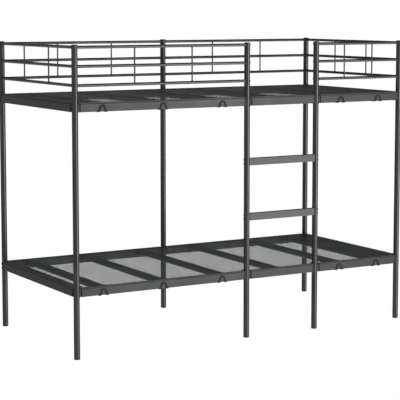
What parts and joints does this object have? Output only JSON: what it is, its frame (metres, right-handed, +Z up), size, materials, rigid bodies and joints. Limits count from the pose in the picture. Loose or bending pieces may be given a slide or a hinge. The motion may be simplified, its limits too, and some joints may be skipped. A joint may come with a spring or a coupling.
{
  "type": "bunk bed",
  "caption": "Steel tube bunk bed with flat mesh decks, a rung ladder built into its front side, and guard rails with upright rods round the upper bed.",
  "frame": {"origin": "middle of the bed's outline, on the floor", "axes": "+X along the bed, to the right seen from the ladder side; +Y from the ladder side to the back; +Z up"},
  "size_m": [2.085, 0.969, 1.611],
  "materials": {
    "frame_paint": "semi-gloss powder coat, near black",
    "rail_paint": "satin powder coat, near black",
    "rung_paint": "satin powder coat, near black",
    "mesh_paint": "satin powder coat, dark grey",
    "bracket_paint": "satin black powder coat",
    "black_plastic": "fine-textured black plastic",
    "black_fastener": "black oxide",
    "zinc_steel": "zinc plated"
  },
  "bodies": {
    "root": {"back_left_guard_rail_low": "frame_paint", "back_left_guard_rail_middle": "frame_paint", "back_left_guard_rail_top": "frame_paint", "back_left_post": "frame_paint", "back_middle_post": "frame_paint", "back_right_guard_rail_low": "frame_paint", "back_right_guard_rail_middle": "frame_paint", "back_right_guard_rail_top": "frame_paint", "back_right_post": "frame_paint", "deck_and_rung_bolts": "black_fastener", "end_guard_rods": "frame_paint", "front_left_guard_rail_low": "frame_paint", "front_left_guard_rail_middle": "frame_paint", "front_left_guard_rail_top": "frame_paint", "front_left_post": "frame_paint", "front_right_guard_rail_low": "frame_paint", "front_right_guard_rail_middle": "frame_paint", "front_right_guard_rail_top": "frame_paint", "front_right_post": "frame_paint", "guard_rail_bolts": "black_fastener", "guard_rail_inserts": "zinc_steel", "ladder_left_post_lower": "frame_paint", "ladder_left_post_upper": "frame_paint", "ladder_post_sleeves": "zinc_steel", "ladder_right_post_lower": "frame_paint", "ladder_right_post_upper": "frame_paint", "ladder_rung_lower": "rung_paint", "ladder_rung_upper": "rung_paint", "ladder_seam_screws": "black_fastener", "left_end_guard_rail_low": "frame_paint", "left_end_guard_rail_middle": "frame_paint", "left_end_guard_rail_top": "frame_paint", "lower_bar_brackets": "bracket_paint", "lower_cross_bars": "frame_paint", "lower_deck_mesh": "mesh_paint", "lower_deck_rail_back_left": "rail_paint", "lower_deck_rail_back_right": "rail_paint", "lower_deck_rail_front_left": "rail_paint", "lower_deck_rail_front_right": "rail_paint", "lower_deck_rail_ladder": "rail_paint", "lower_deck_rail_left_end": "rail_paint", "lower_deck_rail_right_end": "rail_paint", "lower_rail_saddles": "bracket_paint", "post_foot_plugs": "black_plastic", "post_top_caps": "black_plastic", "right_end_guard_rail_low": "frame_paint", "right_end_guard_rail_middle": "frame_paint", "right_end_guard_rail_top": "frame_paint", "side_guard_rods": "frame_paint", "upper_bar_brackets": "bracket_paint", "upper_cross_bars": "frame_paint", "upper_deck_mesh": "mesh_paint", "upper_deck_rail_back_left": "rail_paint", "upper_deck_rail_back_right": "rail_paint", "upper_deck_rail_front_left": "rail_paint", "upper_deck_rail_front_right": "rail_paint", "upper_deck_rail_ladder": "rail_paint", "upper_deck_rail_left_end": "rail_paint", "upper_deck_rail_right_end": "rail_paint", "upper_rail_saddles": "bracket_paint"}
  },
  "joints": []
}
